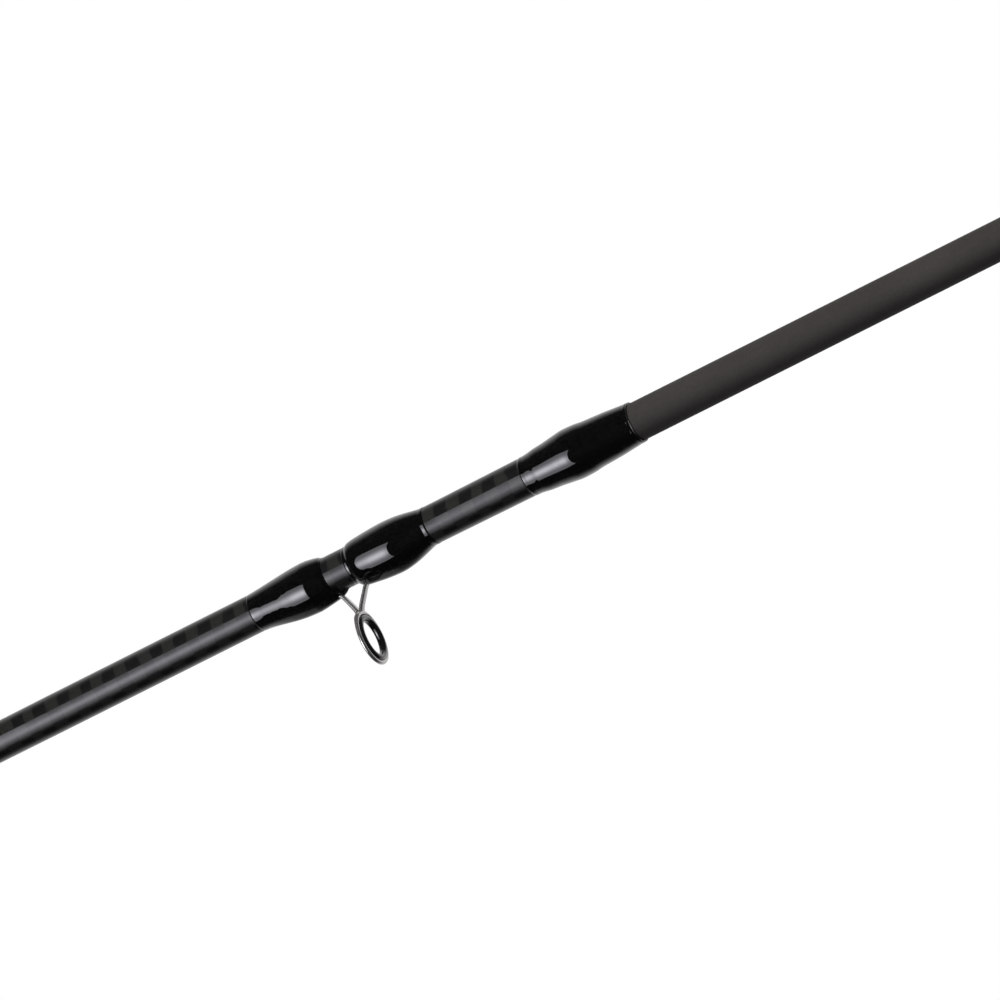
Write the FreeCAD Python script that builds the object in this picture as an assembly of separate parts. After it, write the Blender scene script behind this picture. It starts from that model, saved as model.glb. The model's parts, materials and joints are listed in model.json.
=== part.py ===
"""A two-piece 2.13 m spinning rod, in millimetres.

The rod stands on its butt cap: the origin is the centre of the cap's flat end, +Z runs to the tip,
and the guides and the reel hang on the -Y side. Every physical piece is written as its own solid.
"""
import FreeCAD, Part
import math
import os

Vec = FreeCAD.Vector
AXIS = Vec(0, 0, 1)

# ---- blanks: (distance from the butt, outer radius) ----
BLANK_START = 4.0            # the butt end of the blank stands inside the cap
BLANK_BUTT_R = 6.2
JOINT_R = 3.2                # both sections are parallel and equally thick near the ferrule
PARALLEL_FROM = 930.0
MOUTH_Z = 1037.0             # mouth of the female ferrule on the tip section
MALE_LENGTH = 50.0
MALE_MOUTH_R = 3.05
MALE_END_R = 2.85
FERRULE_CLEARANCE = 0.03
SHOULDER_GAP = 0.05
LIP_R = 3.45                 # the flared female end, under its thread wrap
FLARE_END_Z = 1076.0
PARALLEL_TO = 1150.0
TIP_END_Z = 2126.0
TIP_END_R = 0.95
BUTT_WALL = 1.1
TIP_WALL = 0.5

# ---- handle, from the butt upwards ----
CAP_TOP = 14.0
TRIM_TOP = 18.0
REAR_GRIP_TOP = 118.0
REAR_CHECK_TOP = 122.0
MID_CHECK_START = 232.0
MID_GRIP_START = 236.0
SEAT_START = 300.0
SEAT_END = 424.0
FORE_GRIP_TOP = 472.0
CHECK_TOP = 478.0
HOLDER_R = 12.5              # the straight stretch of the rear grip that a rod holder takes
HOLDER_FROM = 30.0
HOLDER_TO = 72.0

# ---- reel seat ----
SEAT_BORE_R = 8.0
BARREL_R = 10.4
FLARE_R = 12.4
THREAD_R = 11.2
THREAD_PITCH = 3.0
THREAD_FROM = 370.0
THREAD_TO = 421.0
# thread ridges as (radius, half width) at the crest and at the buried base;
# the nut's ridge runs in the gaps between the seat's turns
SEAT_RIDGE = ((THREAD_R, 0.30), (BARREL_R - 0.3, 1.20))
NUT_RIDGE = ((BARREL_R + 0.06, 0.45), (THREAD_R + 0.38, 1.36))
NUT_ROOT_CLEARANCE = 0.08
BED_Y = -9.2                 # flat bed that the reel's foot lies on
HOOD_AXIS_Y = -7.6
HOOD_POCKET_R = 7.6
HOOD_WALL = 1.6
LINER_WALL = 0.8
POCKET_DEPTH = 15.0
FIXED_HOOD_MOUTH = 338.0
FIXED_HOOD_LENGTH = 22.0
SLIDING_HOOD_MOUTH = 384.0
SLIDING_HOOD_LENGTH = 20.0
RING_CLEARANCE = 0.06
KEY_WIDTH = 2.6
KEY_TIP_R = 10.1
GROOVE_WIDTH = 2.9
GROOVE_R = 9.9
NUT_GAP = 0.4
NUT_LENGTH = 14.0
NUT_R = 13.6
NUT_FLUTES = 24
ARBOR_LENGTH = 20.0
ARBOR_STARTS = (304.0, 352.0, 400.0)

# ---- guides: name, station, ring outside diameter, opening, centre distance, foot scale, feet
GUIDES = (
    ("guide_1", 780.0, 29.0, 21.0, 32.0, 1.6, "tripod"),
    ("guide_2", 925.0, 19.4, 13.6, 21.7, 1.3, "tripod"),
    ("guide_3", 1093.3, 9.5, 5.9, 12.4, 1.0, "two_foot"),
    ("guide_4", 1265.0, 8.4, 5.2, 10.9, 0.9, "one_foot"),
    ("guide_5", 1440.0, 7.6, 4.5, 9.5, 0.85, "one_foot"),
    ("guide_6", 1615.0, 7.6, 4.5, 9.0, 0.8, "one_foot"),
    ("guide_7", 1785.0, 7.6, 4.5, 8.6, 0.75, "one_foot"),
    ("guide_8", 1955.0, 7.6, 4.5, 8.2, 0.7, "one_foot"),
)
# places along the rod for a foot scale of 1, measured from the ring's plane
BUTT_ROOT = -2.9
TIP_ROOT = 2.3
BUTT_FOOT = 12.8
TIP_FOOT = 13.6
LEG_LEAN = 0.34              # a forked or braced leg's root stands this far from the ring, per unit of height
LEG_SPREAD = 58.0
FOOT_GRIND = 0.04
RING_SLENDERNESS = 0.07      # the hoop's axial thickness over its outside diameter
HOOP_SHARE = 0.4             # the part of the ring's radial width that is metal; the rest is ceramic
INSERT_SLENDERNESS = 0.22    # half of the ceramic's axial thickness over its diameters' difference
FOOT_WIDTH = 1.5
FOOT_ROOT_THICKNESS = 0.45
FOOT_END_THICKNESS = 0.12
LEG_THICKNESS = 0.6
WEB_HEIGHT = 0.65            # a two-foot guide's legs stand this far from its hoop, on a short web
WEB_FROM = -0.45             # the web's two faces, from the ring's plane
WEB_TO = 0.85
LEG_TOPS = (-0.25, 0.6)      # where the butt-side and the tip-side leg meet the web
WRAP_OFFSET = 0.25           # a wrap's axis leans towards the foot that it covers
END_CLEARANCE = 1.2          # how far a wrap starts beyond its foot's end
ROOT_CLEARANCE = 1.0         # how far it stops short of the leg's bend
THREAD_SETBACKS = (1.1, 0.7)  # the thread inside its coat, at the far end and at the ring's end
# covers above the blank at shares of a wrap's length, from its far end to the ring
THREAD_SHAPE = ((0, 0.34), (0.35, 0.5), (1, 0.5))
COAT_SHAPE = (
    (0, 0.30), (0.1, 0.52), (0.3, 0.86), (0.52, 1.05),
    (0.66, 1.0), (0.86, 0.78), (0.97, 0.66), (1, 0.56),
)

# ---- ferrule wrap, hook keeper and grip wrap ----
FERRULE_WRAP_FROM = 1038.5
FERRULE_WRAP_TO = 1058.5
FERRULE_PEAK_R = 4.26
TRIM_THREAD = 0.2            # thickness of a plain wrap's thread
TRIM_SETBACK = 1.0           # the thread stops this far inside each end of its coat
KEEPER_Z = 508.0
KEEPER_WIRE_R = 0.6
KEEPER_SPAN = 11.0
KEEPER_FOOT = 9.0
GRIP_WRAP_TO = 490.0

# ---- tip-top ----
TIP_TUBE_FROM = 2112.0
TIP_TUBE_TO = 2130.0
TIP_TUBE_WALL = 0.35
TIP_WRAP_LENGTH = 12.0
TIP_RING = (2131.0, 7.4, 4.5, 4.3)   # station, outside diameter, opening, centre distance from the axis


def line_between(stations, z):
    """Radius at height z on an outline of (z, radius) stations."""
    for (z0, r0), (z1, r1) in zip(stations, stations[1:]):
        if z0 <= z <= z1:
            return r0 + (r1 - r0) * (z - z0) / (z1 - z0)
    raise ValueError(f"height {z} is off the blank")


BUTT_OUTLINE = ((BLANK_START, BLANK_BUTT_R), (PARALLEL_FROM, JOINT_R), (MOUTH_Z, JOINT_R))
TIP_OUTLINE = (
    (MOUTH_Z, LIP_R),
    (FLARE_END_Z, JOINT_R),
    (PARALLEL_TO, JOINT_R),
    (TIP_END_Z, TIP_END_R),
)


def blank_radius(z):
    """Outer radius of whichever section shows at height z."""
    return line_between(BUTT_OUTLINE if z < MOUTH_Z else TIP_OUTLINE, z)


def turned(points, axis_y=0.0):
    """A solid of revolution about a vertical axis, from an outline of (radius, z) points."""
    outline = Part.makePolygon([Vec(r, axis_y, z) for r, z in points + points[:1]])
    return Part.Face(outline).revolve(Vec(0, axis_y, 0), AXIS, 360)


def cylinder(radius, z0, z1, axis_y=0.0):
    return Part.makeCylinder(radius, z1 - z0, Vec(0, axis_y, z0))


def block(x_half, y0, y1, z0, z1):
    return Part.makeBox(2 * x_half, y1 - y0, z1 - z0, Vec(-x_half, y0, z0))


def smooth_turned(outline, inner):
    """A turned piece whose outside is one smooth curve and whose bore follows the (radius, z) pair."""
    curve = Part.BSplineCurve()
    curve.interpolate([Vec(r, 0, z) for r, z in outline])
    (r0, z0), (r1, z1) = inner
    start = Vec(outline[0][0], 0, outline[0][1])
    end = Vec(outline[-1][0], 0, outline[-1][1])
    low, high = Vec(r0, 0, z0), Vec(r1, 0, z1)
    edges = [
        curve.toShape(),
        Part.LineSegment(end, high).toShape(),
        Part.LineSegment(high, low).toShape(),
        Part.LineSegment(low, start).toShape(),
    ]
    return Part.Face(Part.Wire(edges)).revolve(Vec(0, 0, 0), AXIS, 360)


def on_blank(outline, z0, z1, smooth=True):
    """A grip or ring that is bored to fit the tapered blank from z0 to z1."""
    bore = ((blank_radius(z0), z0), (blank_radius(z1), z1))
    if smooth:
        return smooth_turned(outline, bore)
    return turned(list(outline) + [bore[1], bore[0]])


# ------------------------------------------------------------------ blanks

def butt_blank():
    """Hollow butt section with the male half of the ferrule at its top."""
    male_end = MOUTH_Z + MALE_LENGTH
    shoulder = MOUTH_Z - SHOULDER_GAP
    outside = [
        (BLANK_BUTT_R, BLANK_START),
        (JOINT_R, PARALLEL_FROM),
        (JOINT_R, shoulder),
        (MALE_MOUTH_R, shoulder),
        (MALE_END_R, male_end),
    ]
    inside = [
        (MALE_END_R - 0.6, male_end),
        (JOINT_R - 0.8, PARALLEL_FROM),
        (BLANK_BUTT_R - BUTT_WALL, BLANK_START),
    ]
    return turned(outside + inside)


def tip_blank():
    """Hollow tip section with the female half of the ferrule at its foot."""
    outside = [(r, z) for z, r in TIP_OUTLINE]
    bore_end = MOUTH_Z + MALE_LENGTH + 2.0
    inside = [
        (TIP_END_R - TIP_WALL, TIP_END_Z),
        (JOINT_R - 0.6, PARALLEL_TO),
        (MALE_END_R + FERRULE_CLEARANCE, bore_end),
        (MALE_MOUTH_R + FERRULE_CLEARANCE, MOUTH_Z),
    ]
    return turned(outside + inside)


# ------------------------------------------------------------------ handle

def butt_cap():
    """Rubber cup over the end of the blank, flat where the rod stands."""
    return turned([
        (0, 0), (10.6, 0), (12.0, 1.6), (12.4, 5.0), (12.2, CAP_TOP),
        (blank_radius(CAP_TOP), CAP_TOP), (BLANK_BUTT_R, BLANK_START), (0, BLANK_START),
    ])


def trim_ring():
    z0, z1 = CAP_TOP, TRIM_TOP
    return on_blank([(12.0, z0), (12.4, z0 + 0.6), (12.4, z1 - 0.6), (12.0, z1)], z0, z1, smooth=False)


def rear_grip():
    outline = [
        (12.0, TRIM_TOP), (12.4, 24.0), (HOLDER_R, HOLDER_FROM),
    ]
    front = [
        (HOLDER_R, HOLDER_TO), (12.1, 84.0), (10.8, 98.0), (9.4, 110.0), (9.0, REAR_GRIP_TOP),
    ]
    return on_blank(outline + front, TRIM_TOP, REAR_GRIP_TOP, smooth=False)


def rear_grip_check():
    z0, z1 = REAR_GRIP_TOP, REAR_CHECK_TOP
    return on_blank([(9.0, z0), (9.3, z0 + 0.8), (7.4, z1)], z0, z1, smooth=False)


def mid_grip_check():
    z0, z1 = MID_CHECK_START, MID_GRIP_START
    return on_blank([(7.0, z0), (8.8, z1 - 0.8), (8.6, z1)], z0, z1, smooth=False)


def mid_grip():
    outline = [(8.6, MID_GRIP_START), (9.3, 246.0), (11.0, 264.0), (12.3, 282.0), (FLARE_R, SEAT_START)]
    return on_blank(outline, MID_GRIP_START, SEAT_START)


def fore_grip():
    outline = [(12.2, SEAT_END), (12.0, 434.0), (10.6, 452.0), (8.9, 464.0), (8.2, FORE_GRIP_TOP)]
    return on_blank(outline, SEAT_END, FORE_GRIP_TOP)


def winding_check():
    z0, z1 = FORE_GRIP_TOP, CHECK_TOP
    outline = [(8.2, z0), (8.4, z0 + 1.2), (7.2, z0 + 2.4), (5.6, z1)]
    return on_blank(outline, z0, z1, smooth=False)


# ------------------------------------------------------------------ reel seat

def helical_ridge(section, z0, z1):
    """One right-handed ridge of thread from z0 to z1; section is (radius, half width) from crest to base."""
    (crest_r, crest_half), (base_r, base_half) = section
    helix = Part.makeHelix(THREAD_PITCH, z1 - z0, min(crest_r, base_r))
    helix.translate(Vec(0, 0, z0))
    corners = [
        Vec(base_r, 0, z0 - base_half),
        Vec(crest_r, 0, z0 - crest_half),
        Vec(crest_r, 0, z0 + crest_half),
        Vec(base_r, 0, z0 + base_half),
    ]
    outline = Part.makePolygon(corners + corners[:1])
    return Part.Wire(helix).makePipeShell([outline], True, True)


def hood_shell(mouth, direction, length):
    """The bulge of a hood: straight at its mouth and sloping down to the barrel at its far end."""
    radius = HOOD_POCKET_R + HOOD_WALL
    far = mouth - direction * length
    shoulder = mouth - direction * 0.62 * length
    points = [(0, mouth), (radius - 0.4, mouth), (radius, mouth - direction * 0.6), (radius, shoulder)]
    points += [(radius - 3.6, far), (0, far)]
    return turned(points, HOOD_AXIS_Y)


def hood_pocket(mouth, direction, radius, depth):
    """The D-shaped space over the bed that takes one end of a reel's foot."""
    z0, z1 = sorted((mouth + direction * 0.5, mouth - direction * depth))
    return cylinder(radius, z0, z1, HOOD_AXIS_Y).cut(block(20, BED_Y, 20, z0 - 1, z1 + 1))


def hood_liner(mouth, direction):
    """Soft lining on the roof of a hood's pocket."""
    outer = hood_pocket(mouth - direction * 1.0, direction, HOOD_POCKET_R, POCKET_DEPTH - 1.0)
    inner = hood_pocket(mouth + direction * 1.0, direction, HOOD_POCKET_R - LINER_WALL, POCKET_DEPTH + 9.0)
    z0, z1 = sorted((mouth - direction * 1.0, mouth - direction * POCKET_DEPTH))
    band = block(20, -20, BED_Y - 0.3, z0, z1)
    return outer.common(band).cut(inner)


def reel_seat():
    """Barrel, fixed hood and helical thread in one moulding."""
    barrel = turned([
        (FLARE_R, SEAT_START), (BARREL_R, SEAT_START + 14), (BARREL_R, SEAT_END),
        (SEAT_BORE_R, SEAT_END), (SEAT_BORE_R, SEAT_START),
    ])
    hood_from = FIXED_HOOD_MOUTH - FIXED_HOOD_LENGTH
    collar = turned([
        (BARREL_R, hood_from - 4), (12.2, hood_from), (12.2, FIXED_HOOD_MOUTH),
        (BARREL_R - 1, FIXED_HOOD_MOUTH), (BARREL_R - 1, hood_from - 4),
    ])
    bulge = hood_shell(FIXED_HOOD_MOUTH, 1, FIXED_HOOD_LENGTH + 6)
    bulge = bulge.cut(cylinder(BARREL_R - 0.5, 290, 350))
    ridge = helical_ridge(SEAT_RIDGE, THREAD_FROM, THREAD_TO)
    body = barrel.fuse([collar, bulge, ridge])
    pocket = hood_pocket(FIXED_HOOD_MOUTH, 1, HOOD_POCKET_R, POCKET_DEPTH)
    bed = block(20, -20, BED_Y, FIXED_HOOD_MOUTH, SEAT_END + 1)
    groove = block(GROOVE_WIDTH / 2, GROOVE_R, 20, FIXED_HOOD_MOUTH + 8, SEAT_END + 1)
    return body.cut(pocket).cut(bed).cut(groove)


def seat_arbors():
    """Bushings that centre the seat on the blank."""
    rings = []
    for z0 in ARBOR_STARTS:
        z1 = z0 + ARBOR_LENGTH
        rings.append(on_blank([(SEAT_BORE_R, z0), (SEAT_BORE_R, z1)], z0, z1, smooth=False))
    return Part.makeCompound(rings)


def sliding_hood():
    """The hood that slides on the thread's crests, kept straight by a key in the seat's groove."""
    mouth, top = SLIDING_HOOD_MOUTH, SLIDING_HOOD_MOUTH + SLIDING_HOOD_LENGTH
    bore_r = THREAD_R + RING_CLEARANCE
    ring = turned([
        (bore_r, mouth), (12.7, mouth), (13.0, mouth + 0.8), (13.0, top - 0.8), (12.7, top), (bore_r, top),
    ])
    bulge = hood_shell(mouth, -1, SLIDING_HOOD_LENGTH - 0.5).cut(cylinder(bore_r + 0.5, mouth - 1, top + 1))
    key = block(KEY_WIDTH / 2, KEY_TIP_R, bore_r + 0.6, mouth, top)
    pocket = hood_pocket(mouth, -1, HOOD_POCKET_R, POCKET_DEPTH)
    return ring.fuse([bulge, key]).cut(pocket)


def hood_nut():
    """Fluted nut that drives the sliding hood along the thread."""
    z0 = SLIDING_HOOD_MOUTH + SLIDING_HOOD_LENGTH + NUT_GAP
    z1 = z0 + NUT_LENGTH
    bore_r = THREAD_R + NUT_ROOT_CLEARANCE
    nut = turned([
        (bore_r, z0), (NUT_R - 0.8, z0), (NUT_R, z0 + 0.8), (NUT_R, z1 - 4.2), (NUT_R - 0.9, z1 - 3.2),
        (NUT_R - 0.9, z1 - 0.6), (NUT_R - 1.4, z1), (bore_r, z1),
    ])
    flutes = []
    for index in range(NUT_FLUTES):
        angle = 2 * math.pi * index / NUT_FLUTES
        centre = Vec((NUT_R + 0.5) * math.cos(angle), (NUT_R + 0.5) * math.sin(angle), z0 + 1.2)
        flutes.append(Part.makeCylinder(0.95, NUT_LENGTH - 6.4, centre))
    nut = nut.cut(Part.makeCompound(flutes))
    half_base = NUT_RIDGE[1][1]
    turns_below = math.ceil((z0 + half_base - THREAD_FROM) / THREAD_PITCH - 0.5) + 0.5
    ridge_from = THREAD_FROM + turns_below * THREAD_PITCH
    return nut.fuse(helical_ridge(NUT_RIDGE, ridge_from, z1 - half_base - 0.1))


# ------------------------------------------------------------------ guides

def ring_band(station, outside, inside, centre):
    """The flat metal hoop of a guide frame."""
    half = outside * RING_SLENDERNESS / 2
    r_out, r_in = outside / 2, inside / 2
    edge = 0.25 * half
    band = turned([
        (r_in, -half), (r_out - edge, -half), (r_out, -half + edge),
        (r_out, half - edge), (r_out - edge, half), (r_in, half),
    ])
    band.translate(Vec(0, -centre, station))
    return band


def ring_insert(station, outside, inside, centre):
    """The rounded ceramic ring pressed into the hoop."""
    half = (outside - inside) * INSERT_SLENDERNESS
    r_out, r_in = outside / 2, inside / 2
    arc = Part.Arc(Vec(r_out, 0, half), Vec(r_in, 0, 0), Vec(r_out, 0, -half))
    wall = Part.LineSegment(Vec(r_out, 0, -half), Vec(r_out, 0, half))
    insert = Part.Face(Part.Wire([arc.toShape(), wall.toShape()])).revolve(Vec(0, 0, 0), AXIS, 360)
    insert.translate(Vec(0, -centre, station))
    return insert


def seat_diameter(outside, opening):
    """Where the hoop ends and the insert begins."""
    return outside - HOOP_SHARE * (outside - opening)


def foot_strip(root, end, scale):
    """A flat foot that lies along the blank and thins towards its end; its sole is ground to fit later."""
    bottom_root = blank_radius(root) - FOOT_GRIND * scale
    bottom_end = blank_radius(end) - FOOT_GRIND * scale
    corners = [
        Vec(0, -bottom_root, root),
        Vec(0, -bottom_root - FOOT_ROOT_THICKNESS * scale, root),
        Vec(0, -bottom_end - FOOT_END_THICKNESS * scale, end),
        Vec(0, -bottom_end, end),
    ]
    half = FOOT_WIDTH * scale / 2
    face = Part.Face(Part.makePolygon(corners + corners[:1]))
    face.translate(Vec(-half, 0, 0))
    return face.extrude(Vec(2 * half, 0, 0))


def leg_strip(root, top_z, top_y, scale):
    """A single flat leg from its foot to the edge of the hoop or its web."""
    base = Vec(0, -blank_radius(root) - 0.2 * scale, root)
    top = Vec(0, top_y, top_z)
    slope = (top - base).normalize()
    side = Vec(0, slope.z, -slope.y) * (LEG_THICKNESS * scale / 2)
    corners = [base + side, top + side, top - side, base - side]
    half = FOOT_WIDTH * scale / 2
    face = Part.Face(Part.makePolygon(corners + corners[:1]))
    face.translate(Vec(-half, 0, 0))
    return face.extrude(Vec(2 * half, 0, 0))


def leg_pair(base, station, centre, ring_r, spread_deg, scale):
    """Two flat legs in one slanting plane that spread from the base point to the hoop's two sides."""
    spread = math.radians(spread_deg)
    reach_x = ring_r * math.sin(spread)
    top = Vec(0, ring_r * math.cos(spread) - centre, station)
    normal = (top - base).normalize().cross(Vec(1, 0, 0)) * (LEG_THICKNESS * scale)
    half_foot = FOOT_WIDTH * scale / 2
    half_top = half_foot * 0.7
    legs = []
    for sign in (-1, 1):
        corners = [
            base + Vec(-sign * 0.1 * half_foot, 0, 0),
            base + Vec(sign * half_foot, 0, 0),
            top + Vec(sign * (reach_x + half_top), 0, 0),
            top + Vec(sign * (reach_x - half_top), 0, 0),
        ]
        leg = Part.Face(Part.makePolygon(corners + corners[:1])).extrude(normal)
        leg.translate(normal * -0.5)
        legs.append(leg)
    return legs[0].fuse(legs[1])


def foot_places(station, centre, scale, feet):
    """Heights of each foot's root and end, the butt-side foot first."""
    lean = centre - blank_radius(station)
    if feet == "two_foot":
        butt_root = station + BUTT_ROOT * scale
        tip_root = station + TIP_ROOT * scale
    else:
        butt_root = station - LEG_LEAN * lean
        tip_root = station + LEG_LEAN * lean
    places = [(butt_root, butt_root - BUTT_FOOT * scale)]
    if feet != "one_foot":
        places.append((tip_root, tip_root + TIP_FOOT * scale))
    return places


def blank_core(z0, z1):
    """The solid shape of the blank's outside from z0 to z1."""
    outline = BUTT_OUTLINE if z1 < MOUTH_Z else TIP_OUTLINE
    between = [(r, z) for z, r in outline if z0 < z < z1]
    return turned([(0, z0), (blank_radius(z0), z0)] + between + [(blank_radius(z1), z1), (0, z1)])


def guide_frame(station, outside, opening, centre, scale, feet):
    """Hoop, legs and feet of one guide, stamped from one sheet."""
    hoop = ring_band(station, outside, seat_diameter(outside, opening), centre)
    hoop_middle_r = (outside + seat_diameter(outside, opening)) / 4
    foot_half = FOOT_WIDTH * scale / 2
    hoop_low_y = -(centre - outside / 2)
    overlap = 0.3 * scale
    top_y = hoop_low_y - overlap / 3
    pieces = []
    if feet == "two_foot":
        top_y = hoop_low_y + WEB_HEIGHT * scale
        web_z = [station + offset * scale for offset in (WEB_FROM, WEB_TO)]
        pieces.append(block(foot_half, hoop_low_y - overlap, top_y, *web_z))
    places = foot_places(station, centre, scale, feet)
    for index, (root, end) in enumerate(places):
        pieces.append(foot_strip(root, end, scale))
        forked = feet == "one_foot" or (feet == "tripod" and index == 1)
        if forked:
            base = Vec(0, -blank_radius(root) - 0.2 * scale, root)
            pieces.append(leg_pair(base, station, centre, hoop_middle_r, LEG_SPREAD, scale))
        else:
            top_z = station + (LEG_TOPS[index] * scale if feet == "two_foot" else 0)
            pieces.append(leg_strip(root, top_z, top_y, scale))
    reach = 60
    bore = cylinder(seat_diameter(outside, opening) / 2, station - reach, station + reach, -centre)
    ends = [z for place in places for z in place]
    core = blank_core(min(ends + [station]) - 5, max(ends + [station]) + 5)
    return hoop.fuse(pieces).cut(bore).cut(core)


def wrap_span(root, end, scale):
    """Where a wrap's coat starts beyond the foot's end and stops on the leg's root."""
    away = 1 if end > root else -1
    return end + away * END_CLEARANCE * scale, root - away * ROOT_CLEARANCE * scale


def wrap(far, near, scale, frame):
    """Thread sleeve and epoxy coat over one foot, each eccentric towards the foot."""
    def outline(shape, z0, z1):
        points = []
        for share, cover in shape:
            z = z0 + share * (z1 - z0)
            points.append((blank_radius(z) + cover * scale, z))
        return turned([(0, z0)] + points + [(0, z1)], -WRAP_OFFSET * scale)

    inward = 1 if near > far else -1
    thread_far = far + inward * THREAD_SETBACKS[0] * scale
    thread_near = near - inward * THREAD_SETBACKS[1] * scale
    thread_core = outline(THREAD_SHAPE, thread_far, thread_near)
    coat_core = outline(COAT_SHAPE, far, near)
    low, high = sorted((far, near))
    core = blank_core(low - 2, high + 2)
    thread = thread_core.cut(core).cut(frame)
    coat = coat_core.cut(thread_core).cut(core).cut(frame)
    return thread, coat


def joined(solids):
    """Several separate solids kept in one node."""
    found = [solid for shape in solids for solid in shape.Solids if solid.Volume > 0.01]
    return found[0] if len(found) == 1 else Part.makeCompound(found)


def guide_nodes(name, station, outside, opening, centre, scale, feet):
    """Frame, ring, thread and epoxy of one guide."""
    frame = guide_frame(station, outside, opening, centre, scale, feet)
    threads = []
    coats = []
    for root, end in foot_places(station, centre, scale, feet):
        far, near = wrap_span(root, end, scale)
        thread, coat = wrap(far, near, scale, frame)
        threads.append(thread)
        coats.append(coat)
    return {
        name + "_frame": joined([frame]),
        name + "_ring": ring_insert(station, seat_diameter(outside, opening), opening, centre),
        name + "_thread": joined(threads),
        name + "_epoxy": joined(coats),
    }


# ------------------------------------------------------------------ plain wraps and hook keeper

def round_wrap(z0, z1, thread_cover, shape):
    """A concentric thread sleeve and the epoxy coat over it; shape is (share of length, cover) pairs."""
    low, high = z0 + TRIM_SETBACK, z1 - TRIM_SETBACK
    inside = [(blank_radius(high), high), (blank_radius(low), low)]
    outside = [(r + thread_cover, z) for r, z in reversed(inside)]
    thread = turned(outside + inside)
    points = []
    for share, cover in shape:
        z = z0 + share * (z1 - z0)
        points.append((blank_radius(z) + cover, z))
    coat = turned([(0, z0)] + points + [(0, z1)])
    sleeve = turned([(0, low)] + outside + [(0, high)])
    return thread, coat.cut(sleeve).cut(blank_core(z0 - 0.4, z1 + 0.4))


def ferrule_wrap():
    """Reinforcing wrap round the female ferrule, with a spindle-shaped coat."""
    peak = FERRULE_PEAK_R - blank_radius((FERRULE_WRAP_FROM + FERRULE_WRAP_TO) / 2)
    shape = ((0, 0.12), (0.05, 0.36 * peak), (0.3, 0.64 * peak), (0.5, peak), (0.6, peak),
             (0.8, 0.64 * peak), (0.95, 0.36 * peak), (1, 0.12))
    return round_wrap(FERRULE_WRAP_FROM, FERRULE_WRAP_TO, TRIM_THREAD, shape)


def grip_wrap():
    """Trim wrap in front of the winding check."""
    shape = ((0, 0.40), (0.3, 0.55), (0.7, 0.55), (0.92, 0.35), (1, 0.08))
    return round_wrap(CHECK_TOP, GRIP_WRAP_TO, TRIM_THREAD, shape)


def keeper_bow():
    """The wire bow of the hook keeper, on the -Y side."""
    y0 = -(blank_radius(KEEPER_Z) + KEEPER_WIRE_R - 0.3)
    leg = KEEPER_SPAN / 2
    bend = 1.2
    rise = y0 - bend - 0.3
    corner = bend * (1 - math.sqrt(0.5))
    points = []
    for side in (-1, 1):
        start = Vec(0, y0, KEEPER_Z + side * (leg + bend + 0.8))
        foot = Vec(0, y0, KEEPER_Z + side * (leg + bend))
        turn = Vec(0, y0 - corner, KEEPER_Z + side * (leg + corner))
        up = Vec(0, y0 - bend, KEEPER_Z + side * leg)
        top = Vec(0, rise, KEEPER_Z + side * leg)
        points.append((start, foot, turn, up, top))
    (start, foot, turn, up, top), (start_2, foot_2, turn_2, up_2, top_2) = points
    crown = Vec(0, rise - leg, KEEPER_Z)
    edges = [
        Part.LineSegment(start, foot).toShape(),
        Part.Arc(foot, turn, up).toShape(),
        Part.LineSegment(up, top).toShape(),
        Part.Arc(top, crown, top_2).toShape(),
        Part.LineSegment(top_2, up_2).toShape(),
        Part.Arc(up_2, turn_2, foot_2).toShape(),
        Part.LineSegment(foot_2, start_2).toShape(),
    ]
    section = Part.Wire(Part.Circle(start, AXIS, KEEPER_WIRE_R).toShape())
    return Part.Wire(edges).makePipeShell([section], True, False)


def keeper_nodes():
    """Hook keeper with its two feet and wraps, turned to the side away from the guides."""
    root = KEEPER_SPAN / 2 + 1.2
    pieces = []
    spans = []
    for side in (-1, 1):
        foot_root = KEEPER_Z + side * root
        foot_end = foot_root + side * KEEPER_FOOT
        pieces.append(foot_strip(foot_root, foot_end, 1.0))
        spans.append((foot_end + side * 1.2, foot_root - side * 0.3))
    core = blank_core(KEEPER_Z - 30, KEEPER_Z + 30)
    frame = keeper_bow().fuse(pieces).cut(core)
    wraps = [wrap(far, near, 1.3, frame) for far, near in spans]
    nodes = {
        "keeper_wire": joined([frame]),
        "keeper_thread": joined([thread for thread, coat in wraps]),
        "keeper_epoxy": joined([coat for thread, coat in wraps]),
    }
    for shape in nodes.values():
        shape.rotate(Vec(0, 0, 0), AXIS, 180)
    return nodes


# ------------------------------------------------------------------ tip-top

def tip_top_nodes():
    """Tube, hoop and struts of the end guide, with its ring and wrap."""
    station, outside, opening, centre = TIP_RING
    z0, z1 = TIP_TUBE_FROM, TIP_TUBE_TO
    outer_r = blank_radius(z0) + TIP_TUBE_WALL
    tube = turned([
        (blank_radius(z0), z0), (outer_r, z0), (outer_r, z1), (outer_r - 0.5, station + 0.35),
        (0, station + 0.35), (0, TIP_END_Z), (TIP_END_R, TIP_END_Z),
    ])
    seat = seat_diameter(outside, opening)
    hoop = ring_band(station, outside, seat, centre)
    base = Vec(0, -outer_r + 0.1, z0 + 3.5)
    struts = leg_pair(base, station, centre, (outside + seat) / 4, 100, 0.8)
    bore = cylinder(seat / 2, station - 1, station + 1, -centre)
    core = blank_core(z0 - 1, TIP_END_Z - 0.001)
    frame = tube.fuse([hoop, struts]).cut(bore).cut(core)
    shape = ((0, 0.08), (0.15, 0.3), (0.5, 0.5), (0.92, 0.42), (1, 0.36))
    thread, coat = round_wrap(z0 - TIP_WRAP_LENGTH, z0, TRIM_THREAD, shape)
    return {
        "tip_top_frame": joined([frame]),
        "tip_top_ring": ring_insert(station, seat, opening, centre),
        "tip_top_thread": thread,
        "tip_top_epoxy": coat,
    }


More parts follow.
